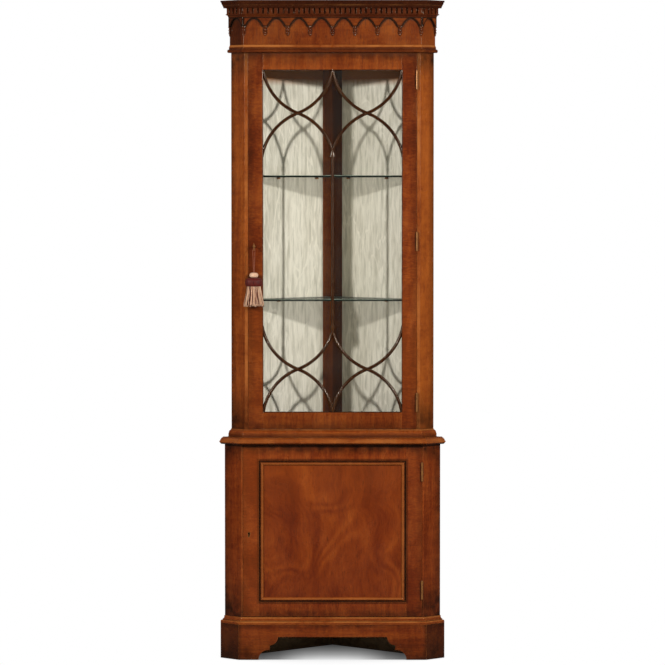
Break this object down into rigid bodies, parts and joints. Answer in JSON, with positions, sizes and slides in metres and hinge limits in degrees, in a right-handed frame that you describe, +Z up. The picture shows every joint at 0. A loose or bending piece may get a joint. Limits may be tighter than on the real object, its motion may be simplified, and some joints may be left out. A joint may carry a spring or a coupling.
{
  "type": "corner cabinet",
  "caption": "Tall corner display cabinet with a glazed Gothic-barred door over a panelled cupboard, canted corners, arcaded frieze, dentil cornice and bracket plinth.",
  "frame": {"origin": "centre of the footprint box on the floor, under the middle of the cabinet", "axes": "+Z up, -Y out of the doors, +Y into the corner of the room, +X to the right seen from the front"},
  "size_m": [0.6652, 0.3885, 1.93],
  "materials": {
    "mahogany": "polished, red-brown, antiqued along the mouldings",
    "mahogany_dark": "polished, dark red-brown",
    "crotch_mahogany": "polished figured veneer",
    "back_board": "stained plywood, matt",
    "lining": "watered silk-like cloth on board",
    "glass": "clear, polished edges",
    "brass": "aged, polished",
    "tassel_thread": "silky cord and threads",
    "tassel_maroon": "silky bound threads"
  },
  "bodies": {
    "cabinet": {"plinth_front": "mahogany", "plinth_return_left": "mahogany", "plinth_return_right": "mahogany", "plinth_rail_left": "back_board", "plinth_rail_right": "back_board", "plinth_moulding": "mahogany", "base_bottom_board": "mahogany", "base_post_left": "mahogany", "base_post_right": "mahogany", "base_door_stops": "mahogany", "base_wall_panel_left": "back_board", "base_wall_panel_right": "back_board", "base_shelf": "back_board", "waist_board": "mahogany", "upper_base_moulding": "mahogany", "upper_bottom_board": "mahogany", "upper_post_left": "mahogany", "upper_post_right": "mahogany", "upper_door_stops": "mahogany", "upper_wall_panel_left": "back_board", "upper_wall_panel_right": "back_board", "lining_left": "lining", "lining_right": "lining", "back_corner_post": "mahogany_dark", "upper_top_board": "mahogany", "frieze_bead_moulding": "mahogany", "frieze_boards": "mahogany", "arcade_fret": "mahogany", "fret_drops": "mahogany", "dentil_moulding": "mahogany_dark", "cornice_moulding": "mahogany_dark", "dust_board": "back_board", "glass_shelf_upper": "glass", "glass_shelf_lower": "glass", "shelf_pegs": "brass", "hinge_case_leaves": "brass", "strike_plates": "brass"},
    "upper_door": {"upper_door_stile_left": "mahogany", "upper_door_stile_right": "mahogany", "upper_door_rail_top": "mahogany", "upper_door_rail_bottom": "mahogany", "upper_door_glass": "glass", "upper_door_astragals": "mahogany_dark", "upper_door_glazing_beads": "mahogany_dark", "upper_hinge_door_leaves": "brass", "upper_lock_case": "brass", "upper_escutcheon": "brass"},
    "upper_bolt": {"upper_lock_bolt": "brass"},
    "upper_key_body": {"upper_key": "brass"},
    "tassel": {"tassel_cord": "tassel_thread", "tassel_bead": "tassel_thread", "tassel_head": "tassel_maroon", "tassel_skirt": "tassel_thread"},
    "lower_door": {"lower_door_stile_left": "mahogany", "lower_door_stile_right": "mahogany", "lower_door_rail_top": "mahogany", "lower_door_rail_bottom": "mahogany", "lower_door_panel": "crotch_mahogany", "lower_panel_moulding": "mahogany", "lower_hinge_door_leaves": "brass", "lower_lock_case": "brass", "lower_escutcheon": "brass"},
    "lower_bolt": {"lower_lock_bolt": "brass"}
  },
  "joints": [
    {"name": "upper_door_hinge", "type": "hinge", "parent": "cabinet", "child": "upper_door", "pos_m": [0.2475, -0.14645, 1.226], "axis": [0, 0, 1], "range_deg": [0, 115]},
    {"name": "lower_door_hinge", "type": "hinge", "parent": "cabinet", "child": "lower_door", "pos_m": [0.2625, -0.17565, 0.37725], "axis": [0, 0, 1], "range_deg": [0, 115]},
    {"name": "upper_key_turn", "type": "hinge", "parent": "upper_door", "child": "upper_key_body", "pos_m": [-0.23, -0.15305, 1.211], "axis": [0, -1, 0], "range_deg": [0, 150]},
    {"name": "upper_bolt_slide", "type": "slide", "parent": "upper_door", "child": "upper_bolt", "axis": [-1, 0, 0], "range_m": [0, 0.0081]},
    {"name": "tassel_hang", "type": "hinge", "parent": "upper_key_body", "child": "tassel", "pos_m": [-0.23, -0.17105, 1.2025], "axis": [0, -1, 0], "range_deg": [-151, 0]},
    {"name": "lower_bolt_slide", "type": "slide", "parent": "lower_door", "child": "lower_bolt", "axis": [-1, 0, 0], "range_m": [0, 0.008]}
  ],
  "couplings": [
    {"joint": "upper_bolt_slide", "follows": "upper_key_turn", "m_per_rad": 0.0030558},
    {"joint": "tassel_hang", "follows": "upper_key_turn", "ratio": -1}
  ]
}
